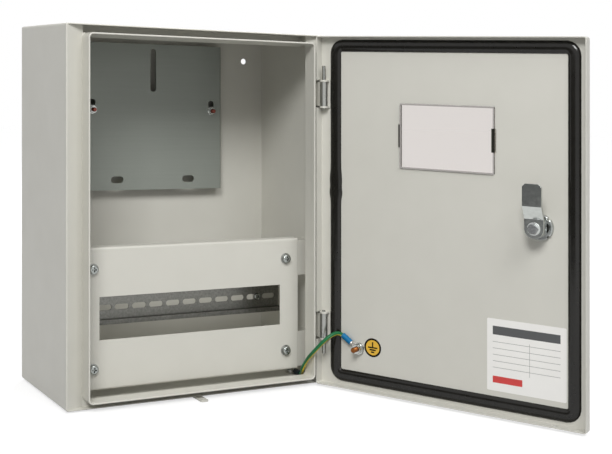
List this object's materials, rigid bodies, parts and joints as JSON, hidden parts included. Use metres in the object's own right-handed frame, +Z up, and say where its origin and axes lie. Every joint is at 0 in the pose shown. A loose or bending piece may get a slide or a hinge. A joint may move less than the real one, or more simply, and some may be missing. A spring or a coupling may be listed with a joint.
{
  "type": "electrical enclosure",
  "caption": "Wall-hung steel meter box: hinged gasketed door with window and cam lock, meter plate, slotted rail behind a screwed cover, and a door bonding lead.",
  "frame": {"origin": "middle of the back panel's outer face, where it meets the wall", "axes": "+X to the right seen from the front, +Y into the wall, +Z up; the door is on the -Y side"},
  "size_m": [0.4488, 0.4263, 0.3966],
  "materials": {
    "painted_sheet": "light grey powder coat",
    "galvanised_sheet": "galvanised, dull",
    "rail_steel": "galvanised with spangle",
    "zinc_fasteners": "bright zinc",
    "copper_studs": "copper plated",
    "tinned_terminals": "tinned",
    "blue_sleeves": "soft vinyl",
    "foam_seal": "poured polyurethane foam",
    "clear_pane": "clear plastic",
    "lock_chrome": "plated",
    "cam_steel": "zinc plated",
    "wire_insulation": "green and yellow stripes"
  },
  "bodies": {
    "box": {"body_shell": "painted_sheet", "sealing_lug": "painted_sheet", "hinge_barrel_upper": "painted_sheet", "hinge_barrel_lower": "painted_sheet", "cover_bracket_upper_left": "painted_sheet", "cover_bracket_upper_right": "painted_sheet", "cover_bracket_lower_left": "painted_sheet", "cover_bracket_lower_right": "painted_sheet", "front_cover": "painted_sheet", "rail_bracket_left": "painted_sheet", "rail_bracket_right": "painted_sheet", "meter_plate": "galvanised_sheet", "din_rail": "rail_steel", "plate_washers": "zinc_fasteners", "plate_nuts": "zinc_fasteners", "cover_washers": "zinc_fasteners", "cover_screws": "zinc_fasteners", "rail_screws": "zinc_fasteners", "body_earth_washers": "zinc_fasteners", "body_earth_nut": "zinc_fasteners", "plate_studs": "copper_studs", "body_earth_stud": "copper_studs", "body_ring_terminal": "tinned_terminals", "body_terminal_sleeve": "blue_sleeves", "earth_wire": "wire_insulation"},
    "door": {"door_panel": "painted_sheet", "door_gasket": "foam_seal", "hinge_bracket_upper": "painted_sheet", "hinge_bracket_lower": "painted_sheet", "hinge_pin_upper": "zinc_fasteners", "hinge_pin_lower": "zinc_fasteners", "door_window": "clear_pane", "lock_body": "lock_chrome", "lock_nut": "lock_chrome", "door_earth_stud": "copper_studs", "door_earth_washers": "zinc_fasteners", "door_earth_nut": "zinc_fasteners", "door_ring_terminal": "tinned_terminals", "door_terminal_sleeve": "blue_sleeves"},
    "cam": {"lock_plug": "lock_chrome", "lock_cam": "cam_steel", "cam_washer": "zinc_fasteners", "cam_bolt": "zinc_fasteners"}
  },
  "joints": [
    {"name": "door_hinge", "type": "hinge", "parent": "box", "child": "door", "pos_m": [0.147, -0.158, 0], "axis": [0, 0, 1], "range_deg": [-118, 7], "deforming": ["earth_wire"]},
    {"name": "lock_turn", "type": "hinge", "parent": "door", "child": "cam", "pos_m": [0.27102, -0.37633, 0.00275], "axis": [-0.8829, -0.4695, 0], "range_deg": [-90, 0]}
  ]
}
